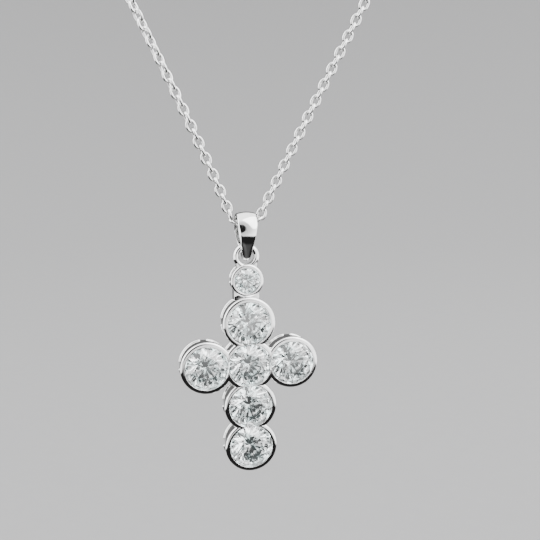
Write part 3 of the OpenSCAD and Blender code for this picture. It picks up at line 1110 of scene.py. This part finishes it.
    def laid(self, middle: Array, axes: Array) -> Skin:
        """Lays one link at each place.

        Args:
            middle: The links' middles.
            axes: For each link its lengthwise, sideways and face directions.
        """
        turn = stacked(*around(self.bend_sides))
        half = np.array([self.link_l - self.wire_d, self.link_w - self.wire_d]) / 2
        sweep = half * np.sign(turn) * np.abs(turn) ** self.oval
        tangent = unit(np.roll(sweep, -1, axis=0) - np.roll(sweep, 1, axis=0))
        outwards = stacked(tangent[:, 1], -tangent[:, 0])
        round_x, round_z = around(self.wire_sides, self.wire_turn)
        flat = sweep[:, None] + self.wire_d / 2 * round_x[None, :, None] * outwards[:, None]
        grid = stacked(flat[..., 0], flat[..., 1], self.wire_d / 2 * round_z)
        link = Skin.grid(grid, rows_close=True, columns_close=True)
        points = middle[:, None] + np.einsum("pk,nkc->npc", link.points, axes)
        faces = link.faces[0][None] + (np.arange(len(middle)) * len(link.points))[:, None, None]
        return Skin(points.reshape(-1, 3), [faces.reshape(-1, 4)])

    def build(self) -> None:
        """Makes the links as one piece, whose few-sided wire looks round."""
        self.make("cable_links", self.links(), "chain", crease=80.0)


@dataclass
class RingClasp(SubAssembly):
    """A plain ring with a soldered eyelet at each side for the chain's end links.

    Args:
        ring_d, wire_d: The ring's outer diameter and the thickness of its wire.
        eyelet_d, eyelet_wire_d: An eyelet's outer diameter and the thickness of its wire.
        sink: How deep an eyelet is soldered in.
    """

    ring_d: float = 5.6
    wire_d: float = 1.0
    eyelet_d: float = 1.9
    eyelet_wire_d: float = 0.45
    sink: float = 0.3

    def build(self) -> None:
        """Makes the clasp, which stands upright in the x and z plane."""
        away = (self.ring_d + self.eyelet_d) / 2 - self.sink
        eyelet = ring((self.eyelet_d - self.eyelet_wire_d) / 2, self.eyelet_wire_d / 2, 64, 20)
        parts = [ring((self.ring_d - self.wire_d) / 2, self.wire_d / 2, 128, 32)]
        parts += [eyelet.moved((side * away, 0, 0)) for side in (-1, 1)]
        self.make("ring_clasp", Skin.joined(parts).upright(), "clasp")


# The studio


@dataclass(frozen=True)
class Softbox:
    """A soft light that the camera doesn't see.

    Args:
        name: The light's name.
        turn, rise: Degrees from the front towards the viewer's right, seen from the cross, and above level.
        distance: Distance from the cross in millimetres.
        size: Width and height in millimetres.
        power: Power in watts.
    """

    name: str
    turn: float
    rise: float
    distance: float
    size: Pair
    power: float

    def place(self) -> None:
        """Adds the light, aimed at the cross."""
        data = bpy.data.lights.new(self.name, "AREA")
        data.shape = "RECTANGLE"
        data.size, data.size_y = self.size[0] * MM, self.size[1] * MM
        data.energy = self.power
        light, away = placed(self.name, data), towards(self.turn, self.rise)
        light.location = (Vector(CROSS_AT) + away * self.distance) * MM
        light.rotation_euler = away.to_track_quat("Z", "Y").to_euler()
        light.visible_camera = False


@dataclass
class Studio:
    """The pale paper sweep, the lights and the camera.

    Args:
        paper: The sweep's material.
        floor_z, floor_r: Height of the floor and radius of its flat part.
        sweep_r, sweep_turn: Radius of the curve that rises from it, and how far that goes in degrees.
        sweep_rows, sweep_columns: Steps up the curve and round it.
        tent, softboxes: The surroundings and the lights.
        camera_distance: Distance of the camera from the cross.
        camera_turn, camera_rise: Degrees from the front towards the right, and above level, where it stands.
        camera_roll: Degrees by which it leans.
        focal_px, shift_px: Its focal length, and its picture's shift right and up, in the photograph's pixels.
        aim: The point that it looks at, from the cross.
        clip: The nearest and furthest distance that it sees, in metres.
    """

    paper: bpy.types.Material
    floor_z: float = -205.0
    floor_r: float = 500.0
    sweep_r: float = 1300.0
    sweep_turn: float = 75.0
    sweep_rows: int = 32
    sweep_columns: int = 128
    tent: Tent = Tent()
    softboxes: tuple[Softbox, ...] = (
        Softbox("key_right", 48, 42, 420, (420, 420), 1.9),
        Softbox("edge_left", -70, 35, 420, (300, 420), 1.3),
    )
    camera_distance: float = 80.0
    camera_turn: float = -12.229
    camera_rise: float = 15.152
    camera_roll: float = 0.706
    focal_px: float = 807.7
    shift_px: Pair = (0.0, 27.0)
    aim: Triple = (2.174, 0.0, 6.676)
    clip: Pair = (0.001, 20.0)

    def sweep(self) -> None:
        """Makes the floor and the wall round it as one turned sheet, under the chain's lowest place.

        It is flat, then part of a circle that rises from it. No metal or stone shows it.
        """
        across, up = waves(np.linspace(270, 270 + self.sweep_turn, self.sweep_rows + 1))
        curve = stacked(self.floor_r + self.sweep_r * across, self.sweep_r * (1 + up))
        r, z = np.concatenate([[(0, 0), (self.floor_r / 2, 0)], curve]).T[:, :, None]
        turn_x, turn_y = around(self.sweep_columns)
        points = stacked(r * turn_x, r * turn_y, z)
        skin = Skin.grid(points, columns_close=True).moved((*CHAIN_LOW[:2], self.floor_z))
        paper = placed("paper_sweep", skin.mesh("paper_sweep", 60.0))
        paper.data.flip_normals()
        paper.data.materials.append(self.paper)
        paper.visible_glossy = False
        paper.visible_transmission = False

    def camera(self) -> None:
        """Sets the camera at the photograph's angle, distance, roll and focal length."""
        data = bpy.data.cameras.new("camera")
        data.sensor_width = SENSOR
        data.lens = SENSOR * self.focal_px / IMAGE_PX
        data.shift_x, data.shift_y = (part / IMAGE_PX for part in self.shift_px)
        data.clip_start, data.clip_end = self.clip
        eye = Vector(CROSS_AT) + self.camera_distance * towards(self.camera_turn, self.camera_rise)
        back = (eye - Vector(CROSS_AT) - Vector(self.aim)).normalized()
        right = Vector((0, 0, 1)).cross(back).normalized()
        over = back.cross(right)
        lean = math.radians(self.camera_roll)
        rolled = right * math.cos(lean) - over * math.sin(lean)
        upright = over * math.cos(lean) + right * math.sin(lean)
        turn = Matrix((rolled, upright, back)).transposed().to_4x4()
        camera = placed("camera", data)
        camera.matrix_world = Matrix.Translation(eye * MM) @ turn
        bpy.context.scene.camera = camera

    def build(self) -> None:
        """Makes the whole studio."""
        self.camera()
        self.sweep()
        bpy.context.scene.world = self.tent.world()
        for softbox in self.softboxes:
            softbox.place()
        log.info("studio: %d lights", len(self.softboxes))


def main() -> None:
    """Builds the necklace's looks in order."""
    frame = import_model()
    Studio(MattePaper().material()).build()
    polished = PolishedMetal("polished_white_metal").material()
    drawn = PolishedMetal("chain_white_metal", wave_size=0.3, wave_depth=0.002, rough=0.18, smooth=0.08)
    CableChain(drawn.material(), Body.NECKLACE, Slot.CHAIN_METAL).build()
    RingClasp(polished, Body.NECKLACE, Slot.WHITE_METAL).build()
    Bail(polished, Body.BAIL, Slot.WHITE_METAL).build()
    Setting(polished, Body.CROSS, Slot.WHITE_METAL).build()
    Stones(CutStone().material()).dress(frame["nodes"])


if __name__ == "__main__":
    main()
